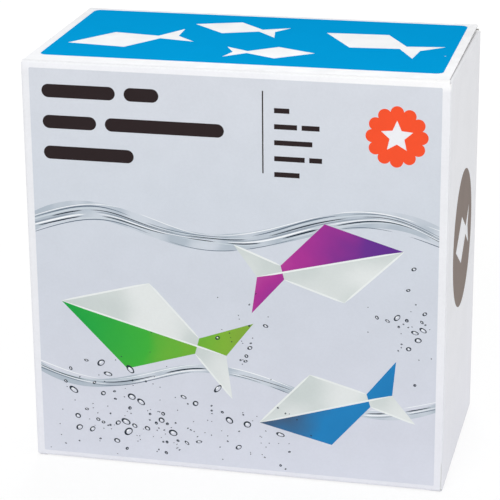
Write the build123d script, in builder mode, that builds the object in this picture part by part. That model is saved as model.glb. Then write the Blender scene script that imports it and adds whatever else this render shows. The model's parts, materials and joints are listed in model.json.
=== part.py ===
"""Folding carton of white paperboard with a tuck-in lid and an auto-lock bottom.

One sheet of board is cut, creased, glued along one seam and folded up. The walls, the dust flaps
and the bottom are one solid. The lid is the same sheet past the front crease, and turns on it.
Millimetres. The origin is the middle of the bottom, on the surface that the carton stands on.
+X is to the right, +Y to the back and +Z up. The lid's crease is the top front edge.
"""

import os
from math import asin, cos, degrees, radians, sin

from build123d import *

# Outside sizes of the closed carton
width = 170.0
depth = 90.0
height = 170.0

# The sheet and its creases
board = 0.5
crease_radius = 1.2
crease_end_inset = 0.7
corner_reach = 0.4
corner_relief = 0.3
ink = 0.05
spot_ink = 0.08

# The seam at the front right corner
glue_flap_width = 15.0
glue_flap_taper = 12.0
seam_inset = 0.4
seam_open_width = 0.5
seam_open_height = 13.0

# The lid and its tuck flap
lid_rise = 1.5
lid_side_inset = 1.1
lid_over_dust = 0.1
lid_corner_radius = 0.75
back_edge_drop = 0.5
tuck_clearance = 0.2
tuck_depth = 18.0
tuck_spring_angle = 0.4
tuck_side_inset = 3.0
tuck_corner_radius = 10.0
slit_length = 8.0
slit_gap = 0.4

# The dust flaps
dust_length = 48.0
dust_tip_radius = 6.0
dust_back_clearance = 2.5
dust_shoulder_length = 14.0
dust_shoulder_step = 4.0
dust_back_taper = 5.0
dust_front_taper = 9.0

# The bottom flaps
flap_side_gap = 2.1
middle_gap = 0.5
hook_reach = 15.0
hook_root = 4.0
hook_inner = 6.0
hook_outer = 58.0
hook_slope = 4.0
hook_corner_radius = 3.0
broad_free_shoulder = 22.0
broad_glued_shoulder = 20.0
side_flap_length = 45.0
side_flap_trim = 2.5
side_flap_toe = 5.0
side_flap_corner_radius = 2.0
score_width = 0.4
score_depth = 0.12

# The printed front
field_margin = 3.0
field_side_margin = 3.4
field_corner_radius = 0.5
title_left = 5.0
title_top = 9.0
title_pitch = 12.6
title_bar = 5.4
title_word_gap = 3.6
title_words = [[30.0, 14.0], [22.0, 48.0], [37.0]]
rule_from_left = 94.0
rule_top = 10.0
rule_length = 33.0
rule_width = 0.5
note_from_left = 98.5
note_drop = 3.2
note_pitch = 6.4
note_bar = 2.0
note_word_gap = 1.8
note_words = [[6.0], [9.0, 7.0], [15.0], [12.0, 5.0], [10.0]]
seal_from_right = 17.0
seal_from_top = 20.0
seal_radius = 9.5
seal_lobes = 12
seal_lobe_radius = 2.6
star_points = 5
star_radius = 6.5
star_waist = 3.0

# Folded-paper fish: half length, then place from the middle of the field
fish_blue = (31.0, 40.0, -52.0)
fish_green = (39.0, -34.0, -25.0)
fish_violet = (33.0, 36.0, 8.0)
fish_blue_angle = 17.0
fish_green_angle = -15.0
fish_violet_angle = 194.0

# Ripples behind the fish, as heights above the bottom of the field at even steps, the first and the
# last a little way past its sides
ripple_upper = [98.0, 106.0, 97.0, 101.0, 110.0, 103.0]
ripple_lower = [40.0, 33.0, 42.0, 38.0, 29.0, 36.0]
ripple_upper_width = 7.0
ripple_lower_width = 3.5
ripple_overrun = 4.0

# The printed lid and right side
lid_field_side = 3.6
lid_field_back = 3.8
lid_field_front = 9.0
lid_field_radius = 3.0
lid_fish = [(25.0, -52.0, -8.0), (20.0, -12.0, 17.0), (18.0, 9.0, -19.0), (26.0, 48.0, 4.0)]
lid_fish_angles = [24.0, -12.0, 186.0, -28.0]
disc_radius = 28.3
disc_height = 93.0
disc_fish_length = 20.0

# Worked-out levels and places
half_width = width / 2
half_depth = depth / 2
middle_of_board = crease_radius - board / 2
dust_level = height - board - lid_over_dust
walls_bottom = board + crease_radius
walls_top = dust_level - crease_radius
crease_half_width = half_width - crease_end_inset
crease_half_depth = half_depth - crease_radius - corner_relief
fold_x = half_width - crease_radius
fold_y = half_depth - crease_radius
lid_reach = depth - board - tuck_clearance
lid_half_width = half_width - lid_side_inset
lid_lift = degrees(asin(lid_rise / depth))
tuck_lean = degrees(asin(tuck_depth / lid_reach)) / 2 + tuck_spring_angle
tuck_half_width = half_width - tuck_side_inset
field_width = width - 2 * field_side_margin
field_height = height - 2 * field_margin

front_face = Plane.XZ.offset(half_depth)
right_face = Plane.YZ.offset(half_width)
lift_cos = cos(radians(lid_lift))
lift_sin = sin(radians(lid_lift))
hinge_point = (0, -half_depth, height)
lid_face = Plane(origin=hinge_point, x_dir=(1, 0, 0), z_dir=(0, -lift_sin, lift_cos))
lid_section = Plane(origin=hinge_point, x_dir=(0, lift_cos, lift_sin), z_dir=(1, 0, 0))


def crease_arc(center, start, turn):
    """The section of one crease: an arc of board about its centre."""
    with BuildLine() as section:
        outer = CenterArc(center, crease_radius, start, turn)
        inner = CenterArc(center, crease_radius - board, start, turn)
        Line(outer @ 0, inner @ 0)
        Line(outer @ 1, inner @ 1)
    make_face(section.edges())


def rounded_polygon(points, radius, corners):
    """A face through the points, with the numbered corners rounded."""
    with BuildLine() as outline:
        Polyline(*points, close=True)
    face = make_face(outline.edges())
    chosen = [face.vertices().sort_by_distance(Vector(*points[i]))[0] for i in corners]
    fillet(chosen, radius)


def turned(points, side):
    """The points turned half a turn about the middle when side is -1."""
    return [(side * x, side * y) for x, y in points]


def flipped(points, side):
    """The points mirrored to the left when side is -1."""
    return [(side * x, y) for x, y in points]


def fish(shape, angle, middle, outlines):
    """Faces of a folded-paper fish, placed from the middle of its field and turned by the angle."""
    size, x, y = shape
    with Locations((x, middle + y)):
        for outline in outlines:
            Polygon(*[(size * u, size * v) for u, v in outline], rotation=angle, align=None)


# A fish heading for -X: nose, back, tail root, tail tips and notch, in shares of its half length
nose = (-1, 0)
back_tip = (-0.15, 0.5)
belly_tip = (-0.15, -0.5)
root = (0.5, 0)
root_top = (0.5, 0.09)
root_bottom = (0.5, -0.09)
tail_top = (1, 0.44)
tail_bottom = (1, -0.44)
tail_notch = (0.82, 0)
back_facet = [nose, root, root_top, back_tip]
belly_facet = [nose, belly_tip, root_bottom, root]
tail_top_facet = [root, tail_notch, tail_top, root_top]
tail_bottom_facet = [root, root_bottom, tail_bottom, tail_notch]
coloured_facets = [belly_facet, tail_top_facet]
pale_facets = [back_facet, tail_bottom_facet]
all_facets = coloured_facets + pale_facets
field_middle = height / 2
front_fish = [
    (fish_blue, fish_blue_angle),
    (fish_green, fish_green_angle),
    (fish_violet, fish_violet_angle),
]


def bar_rows(rows, left, top, pitch, bar, gap, round_ends):
    """Rows of bars of the given lengths, set from the left and down from the top."""
    for row, lengths in enumerate(rows):
        start = left
        for length in lengths:
            with Locations((start + length / 2, top - row * pitch)):
                if round_ends:
                    SlotOverall(length, bar)
                else:
                    Rectangle(length, bar)
            start += length + gap


def ripple(heights, ripple_width):
    """A wavy band that runs past both sides of the front field."""
    start = -field_width / 2 - ripple_overrun
    step = -2 * start / (len(heights) - 1)
    points = [(start + step * i, field_margin + h) for i, h in enumerate(heights)]
    with BuildLine() as middle:
        Spline(*points)
    trace(middle.edges(), line_width=ripple_width)


# Carton: walls, seam, dust flaps and bottom
with BuildPart() as carton:
    # The four walls and the glue flap, from the front wall's free edge round to the flap's end
    seam_edge = half_width - seam_inset
    inside = half_width - board / 2
    front_line = -half_depth + board / 2
    back_line = half_depth - board / 2
    seam_fold = (fold_x, board - fold_y)
    with BuildSketch(Plane.XY.offset(walls_bottom)):
        with BuildLine():
            FilletPolyline(
                (seam_edge, front_line),
                (-inside, front_line),
                (-inside, back_line),
                (inside, back_line),
                (inside, seam_fold[1]),
                radius=middle_of_board,
            )
        trace(line_width=board)
        crease_arc(seam_fold, 0, -90)
        with Locations((seam_fold[0], -half_depth + board)):
            flap_run = glue_flap_width - crease_radius
            Rectangle(flap_run, board, align=(Align.MAX, Align.MIN))
    extrude(amount=walls_top - walls_bottom)

    # The corner creases run a little past the walls, up and down
    with BuildSketch(Plane.XY.offset(walls_bottom - corner_reach)):
        crease_arc(seam_fold, 0, -90)
        crease_arc((fold_x, fold_y), 0, 90)
        crease_arc((-fold_x, fold_y), 90, 90)
        crease_arc((-fold_x, -fold_y), 180, 90)
    extrude(amount=walls_top - walls_bottom + 2 * corner_reach)

    # Both ends of the glue flap taper
    flap_end = half_width - glue_flap_width
    flap_root = fold_x - board
    with BuildSketch(Plane.XZ.offset(half_depth - board)):
        for end, way in ((walls_bottom, 1), (walls_top, -1)):
            with BuildLine():
                Polyline(
                    (flap_end, end),
                    (flap_root, end),
                    (flap_end, end + way * glue_flap_taper),
                    close=True,
                )
            make_face()
    extrude(amount=-board, mode=Mode.SUBTRACT)

    # Unglued foot of the seam, where the front wall's edge stands away from the fold
    with BuildSketch(front_face):
        with BuildLine():
            Polyline(
                (seam_edge, walls_bottom),
                (seam_edge - seam_open_width, walls_bottom),
                (seam_edge, walls_bottom + seam_open_height),
                close=True,
            )
        make_face()
    extrude(amount=-board, mode=Mode.SUBTRACT)

    # Front wall up to the mitre in the lid's crease
    with BuildSketch(Plane.YZ):
        crease_arc((-fold_y, height - crease_radius), 180, -45)
        with Locations((-half_depth, walls_top)):
            Rectangle(board, height - crease_radius - walls_top, align=(Align.MIN, Align.MIN))
    extrude(amount=crease_half_width, both=True)

    # Back wall's cut top edge
    with BuildSketch(Plane.YZ):
        with Locations((half_depth, walls_top)):
            Rectangle(board, height - back_edge_drop - walls_top, align=(Align.MAX, Align.MIN))
    extrude(amount=crease_half_width, both=True)

    # Dust flaps, folded in from the side walls
    dust_back = half_depth - dust_back_clearance
    dust_end = half_width - dust_length
    dust_outline = [
        (fold_x, -fold_y),
        (fold_x, dust_back),
        (fold_x - dust_shoulder_length, dust_back),
        (fold_x - dust_shoulder_length - dust_shoulder_step, dust_back - dust_shoulder_step),
        (dust_end, dust_back - dust_shoulder_step - dust_back_taper),
        (dust_end, -fold_y + dust_front_taper),
    ]
    with BuildSketch(Plane.XZ.offset(-dust_back)):
        for side in (1, -1):
            center = (side * fold_x, dust_level - crease_radius)
            crease_arc(center, 90 - 90 * side, 90 * side)
    extrude(amount=fold_y + dust_back)
    with BuildSketch(Plane.XY.offset(dust_level - board)):
        for side in (1, -1):
            rounded_polygon(flipped(dust_outline, side), dust_tip_radius, (4, 5))
    extrude(amount=board)

    # Side flaps of the bottom: the outer layer, creased at 45 degrees towards the glued end
    side_inner = half_width - side_flap_length
    side_outline = [
        (fold_x, -crease_half_depth),
        (fold_x, crease_half_depth),
        (fold_x - side_flap_trim, crease_half_depth),
        (side_inner, crease_half_depth - (fold_x - side_flap_trim - side_inner)),
        (side_inner, -crease_half_depth + side_flap_toe + side_flap_trim),
        (side_inner + side_flap_toe, -crease_half_depth + side_flap_trim),
    ]
    with BuildSketch(Plane.XZ.offset(-crease_half_depth)):
        for side in (1, -1):
            crease_arc((side * fold_x, crease_radius), 90 - 90 * side, -90 * side)
            with Locations((side * inside, crease_radius)):
                Rectangle(board, walls_bottom - crease_radius, align=(Align.CENTER, Align.MIN))
    extrude(amount=2 * crease_half_depth)
    with BuildSketch(Plane.XY):
        for side in (1, -1):
            rounded_polygon(turned(side_outline, side), side_flap_corner_radius, (3, 4, 5))
    extrude(amount=board)
    score_run = fold_x - side_inner
    with BuildSketch(Plane.XY):
        for side in (1, -1):
            ends = [(fold_x, -crease_half_depth), (side_inner, -crease_half_depth + score_run)]
            with BuildLine():
                Line(*turned(ends, side))
            trace(line_width=score_width)
    extrude(amount=score_depth, mode=Mode.SUBTRACT)

    # Broad flaps of the bottom: they meet along the middle, over the side flaps
    broad_half = crease_half_width - flap_side_gap
    broad_outline = [
        (-broad_half, -fold_y),
        (broad_half, -fold_y),
        (broad_half, -broad_glued_shoulder),
        (broad_half - (broad_glued_shoulder - middle_gap / 2), -middle_gap / 2),
        (-broad_half + broad_free_shoulder, -middle_gap / 2),
        (-broad_half + broad_free_shoulder, -broad_free_shoulder),
    ]
    with BuildSketch(Plane.YZ):
        for side in (1, -1):
            crease_arc((-side * fold_y, walls_bottom), 90 + 90 * side, 90 * side)
    extrude(amount=crease_half_width, both=True)
    with BuildSketch(Plane.XY.offset(board)):
        for side in (1, -1):
            rounded_polygon(turned(broad_outline, side), hook_corner_radius, (2, 5))
    extrude(amount=board)

    # Hooks: half of each broad flap's free edge rides up over the other flap
    hook_outline = [
        (-hook_outer, -hook_root),
        (-hook_inner, -hook_root),
        (-hook_inner, hook_root),
        (-hook_inner - hook_slope, hook_reach),
        (-hook_outer + 2 * hook_slope, hook_reach),
        (-hook_outer, hook_root),
    ]
    with BuildSketch(Plane.XY.offset(2 * board)):
        for side in (1, -1):
            rounded_polygon(turned(hook_outline, side), hook_corner_radius, (3, 4, 5))
    extrude(amount=board)
carton.part.label = "carton"


# Lid: its half of the crease, the panel and the tuck flap
with BuildPart() as lid:
    tuck_center = (lid_reach - crease_radius, -crease_radius)
    fold_half_width = tuck_half_width - slit_length
    with BuildSketch(lid_section):
        crease_arc((crease_radius, -crease_radius), 90, 45)
    extrude(amount=crease_half_width, both=True)
    with BuildSketch(lid_face.offset(-board)):
        with Locations((0, crease_radius)):
            panel_length = lid_reach - 2 * crease_radius
            Rectangle(2 * lid_half_width, panel_length, align=(Align.CENTER, Align.MIN))
    extrude(amount=board)

    # Panel's ends beyond the slits, cut square and rounded at the corners
    with BuildSketch(lid_face.offset(-board)):
        for side in (1, -1):
            ear = [
                (fold_half_width, lid_reach - 2 * crease_radius),
                (fold_half_width, lid_reach - board),
                (lid_half_width, lid_reach - board),
                (lid_half_width, lid_reach - 2 * crease_radius),
            ]
            rounded_polygon(flipped(ear, side), lid_corner_radius, (2,))
    extrude(amount=board)

    # Tuck crease between the slits, then the tuck flap leaning in from the back wall
    with BuildSketch(lid_section):
        crease_arc(tuck_center, 90, -90 - tuck_lean)
    extrude(amount=fold_half_width, both=True)
    lean_cos = cos(radians(tuck_lean))
    lean_sin = sin(radians(tuck_lean))
    flap_top = (
        tuck_center[0] + crease_radius * lean_cos,
        tuck_center[1] - crease_radius * lean_sin,
    )
    tuck_origin = lid_section.from_local_coords(Vector(*flap_top))
    tuck_down = lid_section.from_local_coords(Vector(-lean_sin, -lean_cos)) - Vector(*hinge_point)
    tuck_face = Plane(origin=tuck_origin, x_dir=(1, 0, 0), z_dir=Vector(1, 0, 0).cross(tuck_down))
    tuck_length = (tuck_depth + flap_top[1]) / lean_cos
    tuck_outline = [
        (-fold_half_width, 0),
        (fold_half_width, 0),
        (fold_half_width, slit_gap),
        (tuck_half_width, slit_gap),
        (tuck_half_width - tuck_side_inset, tuck_length),
        (-tuck_half_width + tuck_side_inset, tuck_length),
        (-tuck_half_width, slit_gap),
        (-fold_half_width, slit_gap),
    ]
    with BuildSketch(tuck_face):
        rounded_polygon(tuck_outline, tuck_corner_radius, (4, 5))
    extrude(amount=-board)
lid.part.label = "lid"


# Printing of the front wall, drawn flat
title_x = -field_width / 2 + title_left
title_y = height - field_margin - title_top
with BuildSketch() as title:
    bar_rows(title_words, title_x, title_y, title_pitch, title_bar, title_word_gap, True)
    note_y = title_y - note_drop
    note_x = -field_width / 2 + note_from_left
    bar_rows(note_words, note_x, note_y, note_pitch, note_bar, note_word_gap, False)
    rule_center = height - field_margin - rule_top - rule_length / 2 + title_bar
    with Locations((-field_width / 2 + rule_from_left, rule_center)):
        Rectangle(rule_width, rule_length)

seal_x = half_width - field_side_margin - seal_from_right
seal_y = height - field_margin - seal_from_top
with BuildSketch() as seal_outline:
    with Locations((seal_x, seal_y)):
        Circle(seal_radius)
        with PolarLocations(seal_radius, seal_lobes):
            Circle(seal_lobe_radius)

with BuildSketch() as seal_star:
    with Locations((seal_x, seal_y)):
        spokes = [star_radius, star_waist] * star_points
        half_turn = 180 / star_points
        tips = [Vector(0, r).rotate(Axis.Z, half_turn * i) for i, r in enumerate(spokes)]
        Polygon(*tips, align=None)

with BuildSketch() as school:
    for shape, angle in front_fish:
        fish(shape, angle, field_middle, all_facets)

with BuildSketch() as ripples:
    ripple(ripple_upper, ripple_upper_width)
    ripple(ripple_lower, ripple_lower_width)
    with Locations((0, field_middle)):
        Rectangle(field_width, field_height, mode=Mode.INTERSECT)
    add(school.sketch, mode=Mode.SUBTRACT)


with BuildPart() as print_front:
    with BuildSketch(front_face):
        with Locations((0, field_middle)):
            RectangleRounded(field_width, field_height, field_corner_radius)
        add(title.sketch, mode=Mode.SUBTRACT)
        add(seal_outline.sketch, mode=Mode.SUBTRACT)
        add(school.sketch, mode=Mode.SUBTRACT)
        add(ripples.sketch, mode=Mode.SUBTRACT)
    extrude(amount=ink)
print_front.part.label = "print_front"


with BuildPart() as print_title:
    with BuildSketch(front_face):
        add(title.sketch)
    extrude(amount=spot_ink)
print_title.part.label = "print_title"


with BuildPart() as print_seal:
    with BuildSketch(front_face):
        add(seal_outline.sketch)
        add(seal_star.sketch, mode=Mode.SUBTRACT)
    extrude(amount=spot_ink)
print_seal.part.label = "print_seal"


with BuildPart() as print_ripples:
    with BuildSketch(front_face):
        add(ripples.sketch)
    extrude(amount=ink)
print_ripples.part.label = "print_ripples"


with BuildPart() as print_pale:
    with BuildSketch(front_face):
        for shape, angle in front_fish:
            fish(shape, angle, field_middle, pale_facets)
    extrude(amount=ink)
print_pale.part.label = "print_pale"


with BuildPart() as print_blue:
    with BuildSketch(front_face):
        fish(fish_blue, fish_blue_angle, field_middle, coloured_facets)
    extrude(amount=ink)
print_blue.part.label = "print_blue"


with BuildPart() as print_green:
    with BuildSketch(front_face):
        fish(fish_green, fish_green_angle, field_middle, coloured_facets)
    extrude(amount=ink)
print_green.part.label = "print_green"


with BuildPart() as print_violet:
    with BuildSketch(front_face):
        fish(fish_violet, fish_violet_angle, field_middle, coloured_facets)
    extrude(amount=ink)
print_violet.part.label = "print_violet"


# Printing of the lid: one field with white fish left open in it
lid_field_width = 2 * (lid_half_width - lid_field_side)
lid_field_length = lid_reach - lid_field_front - lid_field_back
lid_field_middle = lid_field_front + lid_field_length / 2
with BuildSketch() as lid_shapes:
    for shape, angle in zip(lid_fish, lid_fish_angles):
        fish(shape, angle, lid_field_middle, all_facets)


with BuildPart() as print_lid:
    with BuildSketch(lid_face):
        with Locations((0, lid_field_middle)):
            RectangleRounded(lid_field_width, lid_field_length, lid_field_radius)
        add(lid_shapes.sketch, mode=Mode.SUBTRACT)
    extrude(amount=ink)
print_lid.part.label = "print_lid"


# Printing of the right wall: a round field with a white fish left open in it
with BuildSketch() as disc_shape:
    fish((disc_fish_length, 0, 0), 0, disc_height, all_facets)


with BuildPart() as print_disc:
    with BuildSketch(right_face):
        with Locations((0, disc_height)):
            Circle(disc_radius)
        add(disc_shape.sketch, mode=Mode.SUBTRACT)
    extrude(amount=ink)
print_disc.part.label = "print_disc"


os.makedirs("parts", exist_ok=True)
export_step(carton.part, "parts/carton.step")
export_step(lid.part, "parts/lid.step")
export_step(print_front.part, "parts/print_front.step")
export_step(print_title.part, "parts/print_title.step")
export_step(print_seal.part, "parts/print_seal.step")
export_step(print_ripples.part, "parts/print_ripples.step")
export_step(print_pale.part, "parts/print_pale.step")
export_step(print_blue.part, "parts/print_blue.step")
export_step(print_green.part, "parts/print_green.step")
export_step(print_violet.part, "parts/print_violet.step")
export_step(print_lid.part, "parts/print_lid.step")
export_step(print_disc.part, "parts/print_disc.step")
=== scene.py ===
"""Finishes, fine print and studio for a toy carton with a tuck-in lid.

Metres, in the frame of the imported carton: +X to the right, +Y to the back, +Z up, standing on z = 0.
The walls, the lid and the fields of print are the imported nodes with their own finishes. Made here are the
skin of the lid's crease and the fine marks of the front picture: ripple strokes, paper rims and bubbles.
"""

import json
from math import asin, cos, radians, sin

import bpy
import numpy as np
from mathutils import Matrix, Vector


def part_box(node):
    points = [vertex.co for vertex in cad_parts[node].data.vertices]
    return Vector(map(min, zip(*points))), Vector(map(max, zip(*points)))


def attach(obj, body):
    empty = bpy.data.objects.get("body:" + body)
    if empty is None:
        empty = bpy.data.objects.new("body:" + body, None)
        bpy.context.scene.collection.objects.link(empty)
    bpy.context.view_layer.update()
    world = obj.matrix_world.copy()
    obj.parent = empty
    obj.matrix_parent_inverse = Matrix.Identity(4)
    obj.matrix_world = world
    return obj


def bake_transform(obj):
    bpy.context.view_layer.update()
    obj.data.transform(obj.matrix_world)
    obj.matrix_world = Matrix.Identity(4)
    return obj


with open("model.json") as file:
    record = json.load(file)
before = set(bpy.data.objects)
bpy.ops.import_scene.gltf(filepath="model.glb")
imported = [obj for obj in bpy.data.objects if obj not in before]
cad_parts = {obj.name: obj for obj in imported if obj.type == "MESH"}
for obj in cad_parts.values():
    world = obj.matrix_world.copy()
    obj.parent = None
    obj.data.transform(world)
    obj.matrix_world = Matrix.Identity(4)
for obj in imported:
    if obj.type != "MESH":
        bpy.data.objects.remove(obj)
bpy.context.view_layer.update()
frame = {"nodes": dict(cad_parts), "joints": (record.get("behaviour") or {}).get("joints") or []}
mm = 0.001


def paint(red, green, blue):
    """A printed colour, given as it looks from 0 to 255, in the linear values that shaders take."""
    seen = np.array([red, green, blue]) / 255
    linear = np.where(seen <= 0.04045, seen / 12.92, ((seen + 0.055) / 1.055) ** 2.4)
    return (*linear.tolist(), 1.0)


# Places read from the frame
carton_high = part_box("carton")[1]
field_low, field_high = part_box("print_front")
lid_field_low, lid_field_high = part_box("print_lid")
hinge = Vector(frame["joints"][0]["pos_m"])
lid_lift = asin((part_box("lid")[1].z - hinge.z) / (carton_high.y - hinge.y))
lid_up = Vector((0, -sin(lid_lift), cos(lid_lift)))
front_ink = field_low.y
field_middle = (field_low.z + field_high.z) / 2
carton_middle = Vector((0, 0, carton_high.z / 2))

# The sheet, and the skin of the lid's crease: a hair thicker than the board, it reaches so many degrees to
# either side of the fold's middle; the smaller angle gives the ends of the bend, which are worked out but
# not used
board = 0.5 * mm
crease_radius = 1.2 * mm
crease_end_inset = 0.7 * mm
crease_skin = 0.012 * mm
crease_middle = 135
crease_cover = 34
crease_bend = 14
crease_arc_steps = 72
crease_length_steps = 24

# Texture of the board: each noise as its scale and detail, the part of a noise's span that is used, and
# the height of the fibres and of the slow waves
grain = (1100, 4)
clouds = (65, 2)
fibres = (1400, 5)
panel_waves = (22, 1)
gloss_patches = (180, 3)
wide_span = (0.3, 0.7)
soft_span = (0.35, 0.65)
fibre_relief = 0.004 * mm
panel_wave = 0.12 * mm

# Surfaces: how far the colour breaks up, the roughness, its play to either side, and the gloss
board_surface = (0.02, 0.5, 0.05, 0.4)
crease_surface = (0.015, 0.45, 0.05, 0.5)
ink_roughness = 0.5
ink_play = 0.04

# Whites of the board: walls at the foot and higher up, then by the front crease, on the crease and in its
# cracks, each at the middle and brighter at the right as painted highlight, then the lid from front left to
# back right, dimmer at the back right as painted shade
foot_white = paint(237, 238, 245)
wall_white = paint(238, 239, 243)
crown_painted_highlights = (paint(244, 245, 249), paint(252, 252, 253))
crease_painted_highlights = (paint(247, 248, 251), paint(254, 254, 254))
crack_whites_painted_highlight = (paint(243, 244, 246), paint(250, 250, 250))
lid_whites_painted_shade = (paint(245, 246, 249), paint(220, 221, 223))

# The bare inside, a painted shade line at the open seam, and the lid's cut ends with the pulp in them,
# darkened as painted shade of the gap under the lid
inside_pulp = paint(222, 219, 212)
seam_painted_shade = paint(224, 225, 227)
cut_white = paint(226, 226, 227)
cut_pulp_painted_shade = paint(92, 88, 85)

# Where those whites change: the foot's reach upwards, the painted highlight's reach down from the crease
# and out from the middle, the front wall's depth behind its ink, the run of the lid's painted shade from
# front left to back right, and the margin over which the inside turns to the outside
foot_reach = 90 * mm
painted_highlight_drop = 5 * mm
painted_highlight_reach = 75 * mm
front_fade = (1.0 * mm, 1.2 * mm)
lid_painted_shade_run = Vector((24, 119, 0)) * mm
outside_margin = 0.5 * mm

# A painted shade line along the seam near the front right corner, whose foot stands a little open
seam_inset = 0.4 * mm
seam_line = 0.4 * mm
seam_softness = 0.15 * mm
seam_foot = 15 * mm
seam_fade = 5 * mm

# The lid's cut ends: how squarely a face looks left or right, and where, under the lid's face, the pulp
# starts and ends, darkened as painted shade of the gap under the lid
cut_facing = (0.8, 0.9)
painted_shade_pulp_start = (0.34 * mm, 0.4 * mm)
painted_shade_pulp_end = (0.55 * mm, 0.8 * mm)

# Fine cracks along the crease
crack_noise = (900, 5)
crack_span = (0.52, 0.62)
crack_stretch = Vector((1.0, 4.0, 4.0))

# The lid's blue, dimmer from front left to back right as painted shade, and the pinhead scuff in it
lid_blues_painted_shade = (paint(5, 164, 228), paint(4, 155, 218))
scuff_white = paint(214, 228, 238)
scuff_place = Vector((lid_field_high.x - 2.6 * mm, lid_field_low.y + 26 * mm, lid_field_high.z))
scuff_reach = (0.45 * mm, 0.75 * mm)
scuff_noise = (2200, 2)
scuff_raggedness = 0.6 * mm

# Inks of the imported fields: the ground from its foot to its top, the ripples and the unprinted paper from
# their darker to their paler patches, and the fish from nose to tail, where patches drift to either side
title_ink = paint(34, 20, 22)
seal_ink = paint(247, 80, 38)
disc_ink = paint(149, 138, 132)
ground_stops = [
    (0.0, paint(221, 224, 235)),
    (0.12, paint(216, 219, 230)),
    (0.45, paint(210, 215, 225)),
    (0.7, paint(211, 217, 226)),
    (1.0, paint(215, 219, 227)),
]
ripple_patches = (70, 1)
ripple_stops = [(0.0, paint(178, 189, 200)), (1.0, paint(206, 213, 222))]
paper_patches = (38, 1)
paper_stops = [(0.0, paint(205, 213, 211)), (1.0, paint(229, 233, 232))]
fish_patches = (45, 2)
fish_drift = 0.06
fish_stops = {
    "blue": [
        (0.0, paint(78, 68, 78)),
        (0.3, paint(66, 86, 112)),
        (0.6, paint(24, 128, 190)),
        (1.0, paint(20, 118, 180)),
    ],
    "green": [
        (0.0, paint(0, 160, 66)),
        (0.45, paint(60, 176, 54)),
        (0.75, paint(126, 178, 52)),
        (1.0, paint(132, 160, 60)),
    ],
    "violet": [
        (0.0, paint(84, 40, 140)),
        (0.4, paint(104, 42, 142)),
        (0.7, paint(172, 46, 146)),
        (1.0, paint(196, 82, 158)),
    ],
}

# Layers of the fine marks, counted out from the front ink
mark_root = 0.006 * mm
stroke_layer = 0.008 * mm
rim_layer = 0.013 * mm
bubble_layer = 0.018 * mm
glint_layer = 0.023 * mm

# Ripples of the front picture: heights above the bottom of the field at even steps, the first and the last
# a little way past its sides, how far the strands spread to either side, the inks of their lanes from the
# lowest up, and the seed of their strokes. Two more lanes follow the lower and the upper edge
ripples = {
    "ripple": (
        np.array([98, 106, 97, 101, 110, 103]) * mm,
        2.95 * mm,
        ["pale", "dark", "white", "grey", "dark", "pale", "slate"],
        3,
    ),
    "ripple_low": (
        np.array([40, 33, 42, 38, 29, 36]) * mm,
        1.25 * mm,
        ["white", "dark", "pale"],
        21,
    ),
}
ripple_overrun = 4 * mm
edges = {-1: "slate", 1: "white"}
edge_width = 0.45 * mm

# Inks of the strands, each with its slot and the shortest and longest of its strokes
strand_inks = {
    "dark": (paint(34, 48, 62), "ink_dark", 12 * mm, 40 * mm),
    "slate": (paint(96, 111, 127), "ink_mid_grey", 20 * mm, 60 * mm),
    "grey": (paint(146, 157, 170), "ink_mid_grey", 24 * mm, 70 * mm),
    "pale": (paint(206, 215, 222), "ink_off_white", 30 * mm, 80 * mm),
    "white": (paint(244, 247, 250), "ink_off_white", 24 * mm, 70 * mm),
}

# How the lanes fan out and sway, in shares of their spread and waves across the field, then how full of
# its lane a stroke is, the gap to the next in millimetres, where its pointed ends stop, the shortest that
# is printed, and its taper beside a fish down to a blunt tip
line_steps = 700
fan_middle = 0.72
fan_play = 0.28
fan_waves = 1.7
sway_waves = 2.3
stroke_steps = 48
stroke_fullness = (0.55, 0.95)
stroke_gap = (1, 8)
stroke_ends = (0.004, 0.996)
shortest_run = 4 * mm
fish_taper = 2.5 * mm
blunt_tip = 0.02

# Paper fish of the front picture: half length, then x and z from the middle of the field, and turn
fish_school = {
    "blue": (31 * mm, 40 * mm, -52 * mm, 17),
    "green": (39 * mm, -34 * mm, -25 * mm, -15),
    "violet": (33 * mm, 36 * mm, 8 * mm, 194),
}
nose = (-1, 0)
back_tip = (-0.15, 0.5)
belly_tip = (-0.15, -0.5)
root_top = (0.5, 0.09)
root_bottom = (0.5, -0.09)
tail_top = (1, 0.44)
tail_bottom = (1, -0.44)
tail_notch = (0.82, 0)
fish_outline = [nose, back_tip, root_top, tail_top, tail_notch, tail_bottom, root_bottom, belly_tip]
fish_rims = [(nose, back_tip), (back_tip, root_top), (nose, tail_notch), (root_bottom, tail_bottom)]
rim_paper = paint(236, 240, 239)
rim_width = 0.75 * mm
rim_steps = 9
rim_swell = 2.2

# Bubbles of the front picture: clouds of them as middle and spread in millimetres and count, then the
# smallest radius and how much it can grow, in millimetres too, how rare the large ones are, the margin to
# the field's sides, how round they are, how much flatter the larger ones, and how far they tilt
bubble_clouds = [
    ((-50, 31), (12, 11), 60),
    ((-36, 16), (20, 8), 95),
    ((71, 68), (6, 9), 40),
    ((4, 62), (7, 8), 26),
    ((8, 18), (14, 8), 45),
]
bubble_seed = 11
bubble_ink = paint(36, 46, 58)
bubble_corners = 20
smallest_bubble = 0.24
bubble_growth = 2.0
bubble_rarity = 4.2
bubble_margin = 0.8 * mm
bubble_roundness = (0.55, 1.0)
bubble_flattening = 0.064 / mm
bubble_tilt = 0.9

# A bubble's line: its width and its least and most share of the radius, how much it swells towards its
# heavy side, in radians, and its widest. Then its glint: place and sizes in shares of the radius
line_width = 0.58 * mm
line_shares = (0.36, 0.84)
line_swell = 0.4
line_heavy_side = 2.2
line_widest = 0.97
glint_from = 0.8 * mm
glint_place = np.array([-0.12, 0.16])
glint_rim = 0.3
glint_core = 0.02

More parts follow.
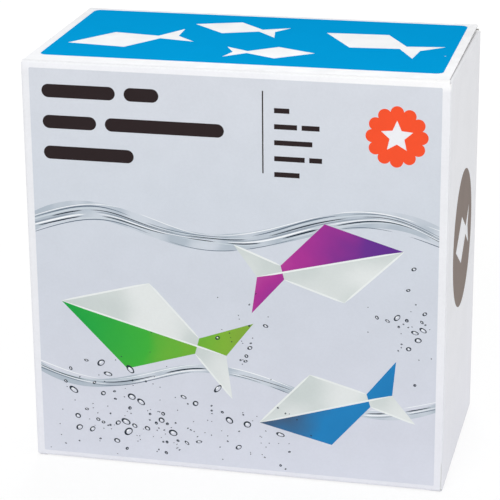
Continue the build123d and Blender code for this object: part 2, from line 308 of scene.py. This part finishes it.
# Camera, set to the photograph: turn, and the carton's foot in the camera's own axes
camera_azimuth = 13.24
camera_elevation = 18.19
camera_roll = -0.4665
camera_to_foot = Vector((4.14, -94.13, -861.99)) * mm
camera_lens = 144.43
camera_shift_up = -0.08
camera_near = 50 * mm

# Studio: a hair between the carton and its floor, how far the floor is seen as plain white near the
# carton, the reach over which that becomes the whole of it, and the light of the room
white = (1.0, 1.0, 1.0, 1.0)
floor_gap = 0.02 * mm
floor_size = 30.0
floor_colour = (0.95, 0.95, 0.95, 1.0)
floor_roughness = 0.9
floor_glow = 0.75
floor_white = 1.05
floor_near = 0.35
floor_far = 1.1
ambient = 0.62

# Lamps, aimed at the middle of the carton: place, size and power
lamps = {
    "key_light": ((0.0, -1.2, 0.9), 0.9, 6.1),
    "side_light": ((1.2, -0.5, 0.5), 0.8, 1.75),
    "back_light": ((-0.15, 1.35, 1.0), 0.9, 7.0),
}


class Finish:
    """One material, with short ways to add its nodes and join them."""

    def __init__(self, name):
        self.material = bpy.data.materials.new(name)
        self.material.use_nodes = True
        self.nodes = self.material.node_tree.nodes
        self.links = self.material.node_tree.links
        self.shader = self.nodes["Principled BSDF"]
        spot = self.nodes.new("ShaderNodeTexCoord")
        self.place = spot.outputs["Object"]
        self.facing = spot.outputs["Normal"]

    def feed(self, socket, value):
        """A socket takes another node's output or a plain value."""
        if isinstance(value, bpy.types.NodeSocket):
            self.links.new(value, socket)
        else:
            socket.default_value = value

    def node(self, kind, inputs, **settings):
        """A new node with its settings, and its inputs fed by name or number."""
        made = self.nodes.new("ShaderNode" + kind)
        for key, value in settings.items():
            setattr(made, key, value)
        for key, value in inputs.items():
            self.feed(made.inputs[key], value)
        return made

    def math(self, operation, *values):
        """The number that an operation makes of its values."""
        return self.node("Math", dict(enumerate(values)), operation=operation).outputs[0]

    def vector(self, operation, *values):
        """The vector that an operation makes, or the number for a dot product or a length."""
        made = self.node("VectorMath", dict(enumerate(values)), operation=operation)
        return made.outputs["Value" if operation in ("DOT_PRODUCT", "LENGTH") else "Vector"]

    def parts(self, vector):
        """The X, Y and Z of a vector, each an output of its own."""
        return self.node("SeparateXYZ", {0: vector}).outputs

    def noise(self, scale, detail, place=None):
        """Noise with features one over the scale, in metres, about one half."""
        inputs = {"Vector": self.place if place is None else place, "Scale": scale, "Detail": detail}
        return self.node("TexNoise", inputs).outputs["Fac"]

    def span(self, value, low, high, new_low=0.0, new_high=1.0):
        """The value carried from one span to another, and held at its ends."""
        inputs = {"Value": value, "From Min": low, "From Max": high, "To Min": new_low, "To Max": new_high}
        return self.node("MapRange", inputs, interpolation_type="SMOOTHSTEP").outputs["Result"]

    def mix(self, factor, first, second, blend="MIX"):
        """The second colour over the first by the factor."""
        made = self.node("Mix", {0: factor}, data_type="RGBA", blend_type=blend)
        self.feed(made.inputs[6], first)
        self.feed(made.inputs[7], second)
        return made.outputs[2]

    def ramp(self, factor, stops):
        """A run of colours along the factor, from a list of place and colour."""
        made = self.node("ValToRGB", {"Fac": factor})
        while len(made.color_ramp.elements) < len(stops):
            made.color_ramp.elements.new(1.0)
        for element, (place, colour) in zip(made.color_ramp.elements, stops):
            element.position = place
            element.color = colour
        return made.outputs["Color"]

    def along(self, start, end):
        """From 0 at the start point to 1 at the end point, in a straight line."""
        run = Vector(end) - Vector(start)
        offset = self.vector("SUBTRACT", self.place, Vector(start))
        return self.vector("DOT_PRODUCT", offset, run / run.length_squared)


def mottled(finish, colour, amount):
    """The colour broken up by board fibres and by faint clouds some 15 mm across: it is multiplied by two
    noises, each held between one less the amount and one."""
    grains = finish.span(finish.noise(*grain), *wide_span, 1 - amount, 1.0)
    cloud = finish.span(finish.noise(*clouds), *soft_span, 1 - amount, 1.0)
    both = finish.math("MULTIPLY", grains, cloud)
    grey = finish.node("CombineColor", {0: both, 1: both, 2: both}).outputs[0]
    return finish.mix(1.0, colour, grey, "MULTIPLY")


def coat(finish, colour, mottle, roughness, play, gloss):
    """Coated board in this colour. Its relief is fibres under a millimetre, over slow waves of the whole
    panel, and its roughness shifts by the play to either side."""
    surface = finish.shader.inputs
    finish.feed(surface["Base Color"], mottled(finish, colour, mottle))
    relief = finish.math("MULTIPLY", finish.noise(*fibres), fibre_relief)
    waves = finish.math("MULTIPLY", finish.noise(*panel_waves), panel_wave)
    height = finish.math("ADD", relief, waves)
    bump = finish.node("Bump", {"Height": height, "Distance": 1.0, "Strength": 1.0})
    finish.feed(surface["Normal"], bump.outputs["Normal"])
    patches = finish.noise(*gloss_patches)
    uneven = finish.span(patches, *wide_span, roughness - play, roughness + play)
    finish.feed(surface["Roughness"], uneven)
    surface["Specular IOR Level"].default_value = gloss


def on_front(finish, parts):
    """One on the front wall, and nothing on the others."""
    near, far = front_fade
    return finish.span(parts["Y"], front_ink + near, front_ink + far, 1.0, 0.0)


def seam_shade(finish, parts):
    """Where the painted shade line lies: one along the open foot of the seam, fading out upwards, and
    nothing elsewhere.
    """
    middle = carton_high.x - seam_inset - seam_line / 2
    across = finish.math("ABSOLUTE", finish.math("SUBTRACT", parts["X"], middle))
    line = finish.span(across, seam_line / 2, seam_line / 2 + seam_softness, 1.0, 0.0)
    foot = finish.span(parts["Z"], seam_foot - seam_fade, seam_foot, 1.0, 0.0)
    return finish.math("MULTIPLY", finish.math("MULTIPLY", line, foot), on_front(finish, parts))


def painted_highlight_right(finish, whites):
    """A painted highlight: the first white as far as the middle of the carton, and the brighter second by
    its right side.
    """
    return finish.mix(finish.span(finish.parts(finish.place)["X"], 0.0, painted_highlight_reach), *whites)


def wall_coating(finish, parts):
    """The walls' coating, a little cooler by the foot, and with a painted highlight on the front just under
    the crease, brightest at the right.
    """
    wall = finish.mix(finish.span(parts["Z"], 0.0, foot_reach), foot_white, wall_white)
    top = finish.span(parts["Z"], hinge.z - painted_highlight_drop, hinge.z - painted_highlight_drop / 2)
    # A painted highlight on the front wall just under the crease
    crown = finish.math("MULTIPLY", top, on_front(finish, parts))
    return finish.mix(crown, wall, painted_highlight_right(finish, crown_painted_highlights))


def lid_painted_shade_factor(finish):
    """From 0 at the lid's front left corner to 1 at its back right corner, mostly along its depth, along
    which the lid's painted shade deepens.
    """
    start = Vector((-carton_high.x, hinge.y, hinge.z))
    return finish.along(start, start + lid_painted_shade_run)


def with_cut_ends_and_painted_shade(finish, colour):
    """The colour, and on faces that look left or right the sheet's cut end, with grey pulp between two
    depths under the lid's face, darkened as painted shade of the gap under the lid."""
    sideways = finish.math("ABSOLUTE", finish.parts(finish.facing)["X"])
    under = finish.vector("DOT_PRODUCT", finish.vector("SUBTRACT", hinge, finish.place), lid_up)
    top = finish.span(under, *painted_shade_pulp_start)
    deep = finish.span(under, *painted_shade_pulp_end, 1.0, 0.0)
    # The pulp band is painted shade of the gap under the lid
    cut_end = finish.mix(finish.math("MULTIPLY", top, deep), cut_white, cut_pulp_painted_shade)
    return finish.mix(finish.span(sideways, *cut_facing), colour, cut_end)


def white_board(name, for_lid):
    """Clay-coated white board, whiter outside than inside, where the bare pulp shows its fibres.

    A face is outside where it looks away from the middle of the carton. The lid shows its cut ends, their
    pulp darkened as painted shade, and dims towards its back right as painted shade; the walls show a
    painted shade line at the open foot of the seam, and a painted highlight under the front crease.
    """
    finish = Finish(name)
    from_middle = finish.vector("SUBTRACT", finish.place, carton_middle)
    outward = finish.vector("DOT_PRODUCT", finish.facing, from_middle)
    outside = finish.span(outward, -outside_margin, outside_margin)
    if for_lid:
        # Painted shade: the lid's white dims from front left to back right
        coating = finish.mix(lid_painted_shade_factor(finish), *lid_whites_painted_shade)
        colour = with_cut_ends_and_painted_shade(finish, finish.mix(outside, inside_pulp, coating))
    else:
        parts = finish.parts(finish.place)
        both_sides = finish.mix(outside, inside_pulp, wall_coating(finish, parts))
        # A painted shade line at the open foot of the seam
        colour = finish.mix(seam_shade(finish, parts), both_sides, seam_painted_shade)
    coat(finish, colour, *board_surface)
    return finish.material


def crease_board():
    """The same board where the lid folds: its coating is stretched smooth, with faint short cracks, and its
    white is a painted highlight, brighter than the walls and brightest at the right.
    """
    finish = Finish("crease_board")
    along_fold = finish.vector("MULTIPLY", finish.place, crack_stretch)
    cracks = finish.span(finish.noise(*crack_noise, along_fold), *crack_span)
    # The crease's whites are a painted highlight, brightest at the right
    smooth = painted_highlight_right(finish, crease_painted_highlights)
    colour = finish.mix(cracks, smooth, painted_highlight_right(finish, crack_whites_painted_highlight))
    coat(finish, colour, *crease_surface)
    return finish.material


def ink(name, wash, mottle=0.02, gloss=0.2):
    """A printed ink, one colour or a wash worked out on the finish, with the board's relief under it."""
    finish = Finish(name)
    colour = wash(finish) if callable(wash) else wash
    coat(finish, colour, mottle, ink_roughness, ink_play, gloss)
    return finish.material


def water_wash(finish):
    """The pale ground of the front picture, a little deeper at half height."""
    up = finish.along((0, front_ink, field_low.z), (0, front_ink, field_high.z))
    return finish.ramp(up, ground_stops)


def ripple_wash(finish):
    """Ripple bands: a slow change between two greys of water, under the strands."""
    return finish.ramp(finish.span(finish.noise(*ripple_patches), *soft_span), ripple_stops)


def paper_wash(finish):
    """Unprinted paper of the fish, grey-green in the folds."""
    return finish.ramp(finish.span(finish.noise(*paper_patches), *soft_span), paper_stops)


def fish_wash(node, key):
    """A soft change of ink from the fish's nose to its tail, airbrushed across the folds. It runs from the
    top left of the fish's box to its bottom right, or back where the fish is turned round."""
    low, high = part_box(node)
    ends = [(low.x, front_ink, high.z), (high.x, front_ink, low.z)]
    turn = fish_school[key][3]
    start, end = ends[::-1] if cos(radians(turn)) < 0 else ends

    def wash(finish):
        drift = finish.span(finish.noise(*fish_patches), *wide_span, -fish_drift, fish_drift)
        return finish.ramp(finish.math("ADD", finish.along(start, end), drift), fish_stops[key])

    return wash


def scuffed_blue_with_painted_shade(finish):
    """The lid's blue, dimmer from front left to back right as painted shade, with a pinhead scuff near its
    right end, whose reach across the lid is made ragged by noise."""
    offset = finish.vector("SUBTRACT", finish.place, scuff_place)
    reach = finish.vector("LENGTH", finish.vector("MULTIPLY", offset, Vector((1.0, 1.0, 0.0))))
    rags = finish.math("MULTIPLY", finish.noise(*scuff_noise), scuff_raggedness)
    scuff = finish.span(finish.math("ADD", reach, rags), *scuff_reach, 1.0, 0.0)
    return finish.mix(scuff, finish.mix(lid_painted_shade_factor(finish), *lid_blues_painted_shade), scuff_white)


def give_finish(node, material):
    """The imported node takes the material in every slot."""
    for slot in frame["nodes"][node].material_slots:
        slot.material = material


def stacks_of_loops(name, loops, joined):
    """One closed mesh from stacks of loops, an array of stack x section x corner x xyz.

    Each section is a ring of corners, joined to the next section by quads. Joined stacks close on
    themselves, and the others get a face at each end. Faces are turned outwards by the mesh's volume.
    """
    stacks, sections, corners = loops.shape[:3]
    index = np.arange(stacks * sections * corners).reshape(stacks, sections, corners)
    here = index if joined else index[:, :-1]
    there = np.roll(index, -1, axis=1) if joined else index[:, 1:]
    quads = np.stack([here, np.roll(here, -1, axis=2), np.roll(there, -1, axis=2), there], axis=-1)
    faces = quads.reshape(-1, 4)
    points = loops.reshape(-1, 3)
    a, b, c, d = (points[faces[:, i]] for i in range(4))
    volume = np.einsum("ij,ij->", a, np.cross(b, c)) + np.einsum("ij,ij->", a, np.cross(c, d))
    rings = [] if joined else np.concatenate([index[:, 0, ::-1], index[:, -1]])
    faces = [face[::-1] if volume < 0 else face for face in (*faces.tolist(), *np.array(rings).tolist())]
    mesh = bpy.data.meshes.new(name)
    mesh.from_pydata(points.tolist(), [], faces)
    mesh.update()
    piece = bpy.data.objects.new(name, mesh)
    bpy.context.scene.collection.objects.link(piece)
    return piece


def front_marks(name, inner, outer, layer, joined, material, slot):
    """Flat ink marks on the front: each section has its inner and outer edge, as x and z, given a
    thickness from just inside the front ink out to the layer."""
    back = np.full(inner.shape[:-1], front_ink + mark_root)
    front = np.full(inner.shape[:-1], front_ink - layer)

    def at(edge, y):
        return np.stack([edge[..., 0], y, edge[..., 1]], axis=-1)

    loops = np.stack([at(inner, back), at(outer, back), at(outer, front), at(inner, front)], axis=2)
    piece = stacks_of_loops(name, loops, joined)
    piece.data.materials.append(material)
    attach(piece, "carton")


def ribbons(name, middle, half_width, layer, material, slot):
    """Ribbons along middle lines, stack x section x (x, z). Each edge is the line moved sideways, across
    its own direction, by the half width at that section."""
    run = np.gradient(middle, axis=1)
    run /= np.linalg.norm(run, axis=-1, keepdims=True)
    across = np.stack([-run[..., 1], run[..., 0]], axis=-1) * half_width[..., None]
    front_marks(name, middle - across, middle + across, layer, False, material, slot)


def wave(heights, x):
    """A smooth line through the heights at even steps, from a little left of the field to a little right.

    Between two heights it is a cubic, and the slopes are those that keep its bend unbroken at each height
    and let it run out straight at both ends.
    """
    count = len(heights)
    bend = np.diag(np.full(count, 4.0)) + np.diag(np.ones(count - 1), 1) + np.diag(np.ones(count - 1), -1)
    bend[0, 0] = bend[-1, -1] = 2.0
    padded = np.concatenate([heights[:1], heights, heights[-1:]])
    slope = np.linalg.solve(bend, 3 * (padded[2:] - padded[:-2]))
    start = field_low.x - ripple_overrun
    step = (field_high.x + ripple_overrun - start) / (count - 1)
    where = (x - start) / step
    i = np.minimum(where.astype(int), count - 2)
    t = where - i
    before = (1 + 2 * t) * (1 - t) ** 2 * heights[i] + t * (1 - t) ** 2 * slope[i]
    after = t * t * (3 - 2 * t) * heights[i + 1] + t * t * (t - 1) * slope[i + 1]
    return field_low.z + before + after


def fish_point(shape, u, v):
    """A point of a fish, in shares of its half length, as x and z on the front."""
    size, x, z, turn = shape
    c, s = cos(radians(turn)), sin(radians(turn))
    return (x + size * (u * c - v * s), field_middle + z + size * (u * s + v * c))


def inside_fish(x, z):
    """True where a point lies inside one of the fish: a line to the right crosses its outline an odd
    number of times."""
    hidden = np.zeros(x.shape, bool)
    for shape in fish_school.values():
        corners = [fish_point(shape, u, v) for u, v in fish_outline]
        odd = np.zeros(x.shape, bool)
        for (x0, z0), (x1, z1) in zip(corners, corners[1:] + corners[:1]):
            spans = (z0 > z) != (z1 > z)
            odd ^= spans & (x < x0 + (z - z0) * (x1 - x0) / (z1 - z0 + 1e-12))
        hidden |= odd
    return hidden


def open_runs(x, z):
    """The stretches of a line that no fish hides, apart from very short ones, as start and end numbers."""
    shown = np.concatenate([[False], ~inside_fish(x, z), [False]])
    starts = np.flatnonzero(shown[1:] & ~shown[:-1])
    ends = np.flatnonzero(~shown[1:] & shown[:-1]) - 1
    return [(a, b) for a, b in zip(starts, ends) if x[b] - x[a] > shortest_run]


def ripple_lanes(rng, x, heights, spread, lanes):
    """The lanes of one ripple, side by side: the ink of each, its height and its width along x.

    A lane keeps its own share of the spread, which swells and shrinks as a slow sine across the field, so
    lanes never cross. Two more lanes follow the ripple's edges.
    """
    across = (x - x[0]) / (x[-1] - x[0])
    fan = fan_middle + fan_play * np.sin(2 * np.pi * (fan_waves * across + rng.random()))
    sway = (1 - fan) * spread * np.sin(2 * np.pi * (sway_waves * across + rng.random()))
    middle_line = wave(heights, x)
    upright = np.hypot(1, np.gradient(middle_line, x))
    made = []
    for lane, key in enumerate(lanes):
        share = 2 * (lane + 0.5) / len(lanes) - 1
        off_middle = sway + spread * fan * share
        made.append((key, middle_line + off_middle * upright, 2 * spread / len(lanes) * fan))
    for side, key in edges.items():
        off_middle = side * (spread + edge_width / 2)
        made.append((key, middle_line + off_middle * upright, np.full(len(x), edge_width)))
    return made


def strokes(rng, x, z, lane_width, shortest, longest):
    """Strokes of random length along one lane, each as its middle line and half width.

    A stroke swells from nothing at both ends as the root of a sine, stays narrower than its lane, and
    thins out beside a fish.
    """
    left = x[0] - rng.uniform(0, longest)
    while left < x[-1]:
        right = left + rng.uniform(shortest, longest)
        part = (x > left) & (x < right)
        fullness = rng.uniform(*stroke_fullness)
        for a, b in open_runs(x[part], z[part]):
            xs = np.linspace(x[part][a], x[part][b], stroke_steps)
            swell = np.sin(np.pi * np.clip((xs - left) / (right - left), *stroke_ends)) ** 0.5
            before = 1.0 if xs[0] == x[0] else np.clip((xs - xs[0]) / fish_taper, blunt_tip, 1)
            after = 1.0 if xs[-1] == x[-1] else np.clip((xs[-1] - xs) / fish_taper, blunt_tip, 1)
            half = np.interp(xs, x, lane_width) / 2 * fullness * swell * before * after
            yield np.stack([xs, np.interp(xs, x, z)], axis=-1), half
        left = right + rng.uniform(*stroke_gap) * mm


def ripple_marks(name, heights, spread, lanes, seed, materials):
    """The strands of one ripple, one piece for each ink."""
    rng = np.random.default_rng(seed)
    x = np.linspace(field_low.x, field_high.x, line_steps)
    made = {key: [] for key in [*lanes, *edges.values()]}
    for key, z, lane_width in ripple_lanes(rng, x, heights, spread, lanes):
        made[key].extend(strokes(rng, x, z, lane_width, *strand_inks[key][2:]))
    for key, own in made.items():
        middles, halves = (np.array(side) for side in zip(*own))
        ribbons(f"{name}_{key}", middles, halves, stroke_layer, materials[key], strand_inks[key][1])


def paper_rims(material):
    """Thin pale edges of the folded paper: straight ribbons between corners of each fish, which swell from
    their blunt tips as a sine and are held at their full width."""
    t = np.linspace(0, 1, rim_steps)[:, None]
    lines = []
    for shape in fish_school.values():
        for start, end in fish_rims:
            a, b = np.array(fish_point(shape, *start)), np.array(fish_point(shape, *end))
            lines.append(a + (b - a) * t)
    along = np.linspace(blunt_tip, 1 - blunt_tip, rim_steps)
    taper = np.clip(np.sin(np.pi * along) * rim_swell, 0, 1)
    half = np.tile(rim_width / 2 * taper, (len(lines), 1))
    ribbons("paper_rims", np.array(lines), half, rim_layer, material, "ink_off_white")


def bubble_field():
    """Places, radii, flatness and tilt of the bubbles.

    Places are normal draws about the clouds' middles. A radius is the smallest, and the growth times a
    random share to the power of the rarity, so that most are tiny. None overlap: the largest take their
    place first.
    """
    rng = np.random.default_rng(bubble_seed)
    drawn = [rng.normal(0, 1, (count, 2)) * spread + middle for middle, spread, count in bubble_clouds]
    center = np.concatenate(drawn) * mm
    radius = (smallest_bubble + bubble_growth * rng.random(len(center)) ** bubble_rarity) * mm
    edge = radius + bubble_margin
    keep = (center[:, 0] - edge > field_low.x) & (center[:, 0] + edge < field_high.x)
    keep &= (center[:, 1] - edge > field_low.z) & (center[:, 1] + edge < field_high.z)
    chosen = []
    for i in np.argsort(-radius):
        apart = [np.linalg.norm(center[i] - center[j]) > radius[i] + radius[j] for j in chosen]
        if keep[i] and all(apart):
            chosen.append(i)
    flat = rng.uniform(*bubble_roundness, len(chosen)) - bubble_flattening * radius[chosen]
    tilt = rng.uniform(-bubble_tilt, bubble_tilt, len(chosen))
    return center[chosen], radius[chosen], flat, tilt


def ovals(center, radius, flat, tilt, turns):
    """Ovals about their centres: radius times (cos a, flat times sin a), turned by the tilt."""
    x = radius[:, None] * np.cos(turns)
    z = (radius * flat)[:, None] * np.sin(turns)
    c, s = np.cos(tilt)[:, None], np.sin(tilt)[:, None]
    return np.stack([x * c - z * s, x * s + z * c], axis=-1) + center[:, None]


def bubbles(ring_material, glint_material):
    """Bubble rings whose line is thicker on one side, and a glint inside the larger ones.

    A ring's inner edge is its outer edge drawn towards the centre by a share that swells as a cosine
    about the heavy side. A glint is a small ring that is all but closed, a little off the centre.
    """
    center, radius, flat, tilt = bubble_field()
    turns = np.linspace(0, 2 * np.pi, bubble_corners, endpoint=False)[None, :]
    outer = ovals(center, radius, flat, tilt, turns)
    share = np.clip(line_width / radius, *line_shares)[:, None]
    line = (share * (1 + line_swell * np.cos(turns - line_heavy_side)))[..., None].clip(0, line_widest)
    inner = outer * (1 - line) + center[:, None] * line
    front_marks("bubble_rings", inner, outer, bubble_layer, True, ring_material, "ink_dark")
    large = radius > glint_from
    middle = center[large] + radius[large, None] * glint_place
    rim = ovals(middle, glint_rim * radius[large], flat[large], tilt[large], turns)
    core = ovals(middle, glint_core * radius[large], flat[large], tilt[large], turns)
    front_marks("bubble_glints", core, rim, glint_layer, True, glint_material, "ink_off_white")


def crease_cover_strip(material):
    """The outer skin of the lid's crease.

    Its section is an arc of board about the crease's centre, a hair thicker than the board. It runs
    along the fold, and past the bend on either side it lies on its own panel.
    """
    half_length = carton_high.x - crease_end_inset - crease_skin
    center = np.array([hinge.y + crease_radius, hinge.z - crease_radius])
    first, last = crease_middle + crease_cover, crease_middle - crease_cover
    turns = np.radians(np.linspace(first, last, crease_arc_steps))
    ray = np.stack([np.cos(turns), np.sin(turns)], axis=-1)
    outer = center + ray * (crease_radius + crease_skin)
    inner = center + ray * (crease_radius - board - crease_skin)
    section = np.concatenate([outer, inner[::-1]])
    x = np.linspace(-half_length, half_length, crease_length_steps)
    loops = np.empty((1, len(x), len(section), 3))
    loops[..., 0] = x[None, :, None]
    loops[..., 1:] = section
    piece = stacks_of_loops("crease_skin", loops, False)
    piece.data.materials.append(material)
    bend = [np.radians(crease_middle + way * crease_bend) for way in (1, -1)]
    ends = [center + crease_radius * np.array([np.cos(a), np.sin(a)]) for a in bend]
    start, end = [(0, *point.tolist()) for point in ends]
    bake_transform(piece)
    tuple(start)
    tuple(end)


def seen_directly(nodes, links):
    """One for rays from the camera, a mirror or glass, and nothing for rays that only carry light."""
    rays = nodes.new("ShaderNodeLightPath")
    total = rays.outputs["Is Camera Ray"]
    for kind in ("Is Glossy Ray", "Is Transmission Ray"):
        both = nodes.new("ShaderNodeMath")
        both.operation = "ADD"
        both.use_clamp = True
        links.new(total, both.inputs[0])
        links.new(rays.outputs[kind], both.inputs[1])
        total = both.outputs[0]
    return total


def studio_floor():
    """A wide pale floor that the camera sees as white, with the carton's shadow left in it."""
    signs = ((-1, -1), (1, -1), (1, 1), (-1, 1))
    corners = [(x * floor_size, y * floor_size, -floor_gap) for x, y in signs]
    mesh = bpy.data.meshes.new("floor")
    mesh.from_pydata(corners, [], [(0, 1, 2, 3)])
    floor = bpy.data.objects.new("floor", mesh)
    bpy.context.scene.collection.objects.link(floor)

    finish = Finish("floor_paper")
    finish.shader.inputs["Base Color"].default_value = floor_colour
    finish.shader.inputs["Roughness"].default_value = floor_roughness
    finish.shader.inputs["Specular IOR Level"].default_value = 0.0
    whiter = finish.span(finish.vector("LENGTH", finish.place), floor_near, floor_far, floor_glow, 1.0)
    share = finish.math("MULTIPLY", seen_directly(finish.nodes, finish.links), whiter)
    glow = finish.node("Emission", {"Strength": floor_white}).outputs[0]
    blend = finish.node("MixShader", {0: share, 1: finish.shader.outputs[0], 2: glow})
    finish.feed(finish.nodes["Material Output"].inputs["Surface"], blend.outputs[0])
    floor.data.materials.append(finish.material)


def studio_sky():
    """An even white room, seen as white and lighting the carton at the ambient strength."""
    world = bpy.data.worlds.new("studio")
    bpy.context.scene.world = world
    world.use_nodes = True
    nodes, links = world.node_tree.nodes, world.node_tree.links
    light = nodes["Background"]
    light.inputs["Color"].default_value = white
    light.inputs["Strength"].default_value = ambient
    backdrop = nodes.new("ShaderNodeBackground")
    backdrop.inputs["Color"].default_value = white
    backdrop.inputs["Strength"].default_value = 1.0
    blend = nodes.new("ShaderNodeMixShader")
    links.new(seen_directly(nodes, links), blend.inputs[0])
    links.new(light.outputs[0], blend.inputs[1])
    links.new(backdrop.outputs[0], blend.inputs[2])
    links.new(blend.outputs[0], nodes["World Output"].inputs["Surface"])


def softbox(name, place, size, power):
    """A square lamp aimed at the middle of the carton."""
    lamp = bpy.data.lights.new(name, "AREA")
    lamp.shape = "SQUARE"
    lamp.size = size
    lamp.energy = power
    holder = bpy.data.objects.new(name, lamp)
    holder.location = place
    holder.rotation_euler = (carton_middle - Vector(place)).to_track_quat("-Z", "Y").to_euler()
    bpy.context.scene.collection.objects.link(holder)


def place_camera():
    """Turned by azimuth, elevation and roll, and set back so that the foot lies where it should."""
    turn = Matrix.Rotation(radians(camera_azimuth), 3, "Z")
    turn = turn @ Matrix.Rotation(radians(90 - camera_elevation), 3, "X")
    turn = turn @ Matrix.Rotation(radians(camera_roll), 3, "Z")
    camera = bpy.data.cameras.new("camera")
    camera.lens = camera_lens
    camera.shift_y = camera_shift_up
    camera.clip_start = camera_near
    holder = bpy.data.objects.new("camera", camera)
    holder.matrix_world = Matrix.Translation(-(turn @ camera_to_foot)) @ turn.to_4x4()
    bpy.context.scene.collection.objects.link(holder)
    bpy.context.scene.camera = holder


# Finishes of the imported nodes
give_finish("carton", white_board("white_board", for_lid=False))
give_finish("lid", white_board("lid_board", for_lid=True))
give_finish("print_front", ink("picture_ground", water_wash))
give_finish("print_ripples", ink("ripple_ink", ripple_wash))
give_finish("print_pale", ink("paper_ink", paper_wash))
give_finish("print_title", ink("dark_ink", title_ink, mottle=0.04))
give_finish("print_seal", ink("orange_ink", seal_ink))
give_finish("print_lid", ink("blue_field_ink", scuffed_blue_with_painted_shade, mottle=0.012, gloss=0.0))
give_finish("print_disc", ink("umber_ink", disc_ink, mottle=0.03, gloss=0.0))
for key in fish_school:
    node = f"print_{key}"
    give_finish(node, ink(f"{key}_fish_ink", fish_wash(node, key)))

# Pieces made here
crease_cover_strip(crease_board())
strand_materials = {key: ink(f"strand_{key}_ink", row[0]) for key, row in strand_inks.items()}
for name, row in ripples.items():
    ripple_marks(name, *row, strand_materials)
paper_rims(ink("rim_ink", rim_paper))
bubbles(ink("bubble_ink", bubble_ink), strand_materials["white"])

# Studio
studio_floor()
studio_sky()
for name, lamp in lamps.items():
    softbox(name, *lamp)
place_camera()
bpy.context.scene.view_settings.view_transform = "Standard"
